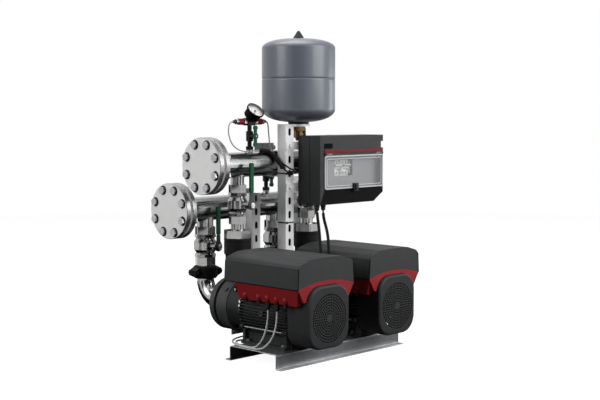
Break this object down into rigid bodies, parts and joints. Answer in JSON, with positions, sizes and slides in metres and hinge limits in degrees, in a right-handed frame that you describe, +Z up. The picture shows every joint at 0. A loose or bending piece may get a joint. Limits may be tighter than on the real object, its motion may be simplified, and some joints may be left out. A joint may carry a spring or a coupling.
{
  "type": "booster pump set",
  "caption": "Pump set on a folded steel base: horizontal multistage pumps with drive motors, flanged manifolds, lever valves, membrane tank, pressure gauge and control cabinet.",
  "frame": {"origin": "on the floor, at the centre of the four floor bolts of the base", "axes": "X along the manifolds to their open ends, Y from the fan ends to the suction ends, Z up"},
  "size_m": [0.752, 0.72, 1.1506],
  "materials": {
    "galvanised": "galvanised sheet",
    "post_steel": "bright galvanised strut",
    "stainless": "brushed stainless pipe",
    "flange_steel": "galvanised flange",
    "gasket_rubber": "moulded rubber",
    "zinc_bolts": "zinc plated",
    "valve_steel": "cast stainless",
    "black_iron": "black coated casting",
    "motor_black": "black painted finned casting",
    "core_steel": "machined steel",
    "fan_cover_black": "moulded, fine grain",
    "tray_red": "moulded red",
    "cover_grey": "moulded dark grey, fine grain",
    "board_green": "circuit board",
    "gland_black": "moulded",
    "tank_paint": "satin blue-grey paint",
    "cap_black": "moulded",
    "valve_brass": "machined brass",
    "stack_steel": "dark fittings",
    "gauge_black": "black case",
    "sensor_red": "steel and red moulding",
    "cabinet_black": "moulded dark enclosure",
    "breaker_white": "moulded",
    "lead_grey": "grey sheath",
    "lead_black": "black sheath",
    "fan_black": "moulded",
    "lever_green": "green sleeve on steel",
    "chrome_ball": "polished",
    "spring_steel": "spring wire",
    "pointer_black": "painted pointer",
    "window_clear": "tinted clear moulding",
    "toggle_black": "moulded"
  },
  "bodies": {
    "set": {"base_frame": "galvanised", "posts": "post_steel", "brackets": "galvanised", "discharge_manifold": "stainless", "suction_manifold": "stainless", "pipe_flanges": "flange_steel", "flange_gaskets": "gasket_rubber", "fasteners": "zinc_bolts", "valve_bodies": "valve_steel", "union_nuts": "valve_steel", "check_valve_bodies": "black_iron", "pump_pipes": "stainless", "grooved_couplings": "black_iron", "pump_casings": "black_iron", "motor_flanges": "black_iron", "motor_housings": "motor_black", "stator_cores": "core_steel", "fan_covers": "fan_cover_black", "diffusers": "stainless", "bearings": "core_steel", "shaft_seals": "gasket_rubber", "terminal_trays": "tray_red", "terminal_covers": "cover_grey", "drive_boards": "board_green", "cable_glands": "gland_black", "tank_shell": "tank_paint", "tank_diaphragm": "gasket_rubber", "tank_cap": "cap_black", "tank_valve": "valve_brass", "gauge_stack": "stack_steel", "switch_stack": "stack_steel", "pressure_gauge": "gauge_black", "pressure_transmitters": "sensor_red", "cabinet_housing": "cabinet_black", "breakers": "breaker_white", "signal_leads": "lead_grey", "power_leads": "lead_black"},
    "rotor_1": {"rotor_1": "core_steel", "fan_1": "fan_black"},
    "rotor_2": {"rotor_2": "core_steel", "fan_2": "fan_black"},
    "discharge_valve_1": {"discharge_lever_1": "lever_green", "discharge_ball_1": "chrome_ball"},
    "discharge_valve_2": {"discharge_lever_2": "lever_green", "discharge_ball_2": "chrome_ball"},
    "suction_valve_1": {"suction_lever_1": "lever_green", "suction_ball_1": "chrome_ball"},
    "suction_valve_2": {"suction_lever_2": "lever_green", "suction_ball_2": "chrome_ball"},
    "check_1": {"check_poppet_1": "valve_brass", "check_spring_1": "spring_steel"},
    "check_2": {"check_poppet_2": "valve_brass", "check_spring_2": "spring_steel"},
    "pointer": {"gauge_pointer": "pointer_black"},
    "gauge_handle": {"gauge_valve_handle": "lever_green"},
    "switch_handle": {"switch_valve_handle": "lever_green"},
    "tank_handle": {"tank_valve_handle": "cap_black"},
    "window": {"cabinet_window": "window_clear"},
    "toggle_1": {"breaker_toggle_1": "toggle_black"},
    "toggle_2": {"breaker_toggle_2": "toggle_black"}
  },
  "joints": [
    {"name": "rotor_spin_1", "type": "hinge", "parent": "set", "child": "rotor_1", "pos_m": [-0.1785, 0, 0.17], "axis": [0, 1, 0], "continuous": true},
    {"name": "rotor_spin_2", "type": "hinge", "parent": "set", "child": "rotor_2", "pos_m": [0.1785, 0, 0.17], "axis": [0, 1, 0], "continuous": true},
    {"name": "discharge_lever_turn_1", "type": "hinge", "parent": "set", "child": "discharge_valve_1", "pos_m": [-0.1785, 0.223, 0.527], "axis": [0, 1, 0], "range_deg": [0, 90]},
    {"name": "suction_lever_turn_1", "type": "hinge", "parent": "set", "child": "suction_valve_1", "pos_m": [-0.1785, 0.397, 0.366], "axis": [0, 1, 0], "range_deg": [0, 90]},
    {"name": "discharge_lever_turn_2", "type": "hinge", "parent": "set", "child": "discharge_valve_2", "pos_m": [0.1785, 0.223, 0.527], "axis": [0, -1, 0], "range_deg": [0, 90]},
    {"name": "suction_lever_turn_2", "type": "hinge", "parent": "set", "child": "suction_valve_2", "pos_m": [0.1785, 0.397, 0.366], "axis": [0, -1, 0], "range_deg": [0, 90]},
    {"name": "check_lift_1", "type": "slide", "parent": "set", "child": "check_1", "axis": [0, 0, 1], "range_m": [0, 0.01], "stiffness_N_per_m": 300, "springref_m": -0.005, "deforming": ["check_spring_1"]},
    {"name": "check_lift_2", "type": "slide", "parent": "set", "child": "check_2", "axis": [0, 0, 1], "range_m": [0, 0.01], "stiffness_N_per_m": 300, "springref_m": -0.005, "deforming": ["check_spring_2"]},
    {"name": "gauge_pointer_turn", "type": "hinge", "parent": "set", "child": "pointer", "pos_m": [-0.118, 0.215, 0.838], "axis": [0, 0.7071, -0.7071], "range_deg": [0, 270], "stiffness_Nm_per_rad": 0.001},
    {"name": "gauge_valve_turn", "type": "hinge", "parent": "set", "child": "gauge_handle", "pos_m": [-0.118, 0.193, 0.769], "axis": [0, 1, 0], "range_deg": [0, 90]},
    {"name": "switch_valve_turn", "type": "hinge", "parent": "set", "child": "switch_handle", "pos_m": [0.136, 0.367, 0.607], "axis": [0, 1, 0], "range_deg": [0, 90]},
    {"name": "tank_valve_turn", "type": "hinge", "parent": "set", "child": "tank_handle", "pos_m": [0.094, 0.1576, 0.7728], "axis": [-1, 0, 0], "range_deg": [0, 90]},
    {"name": "window_swing", "type": "hinge", "parent": "set", "child": "window", "pos_m": [0.2235, 0.02, 0.703], "axis": [-1, 0, 0], "range_deg": [0, 110]},
    {"name": "breaker_switch_1", "type": "hinge", "parent": "set", "child": "toggle_1", "pos_m": [0.173, 0.071, 0.651], "axis": [1, 0, 0], "range_deg": [0, 60]},
    {"name": "breaker_switch_2", "type": "hinge", "parent": "set", "child": "toggle_2", "pos_m": [0.223, 0.071, 0.651], "axis": [1, 0, 0], "range_deg": [0, 60]}
  ]
}
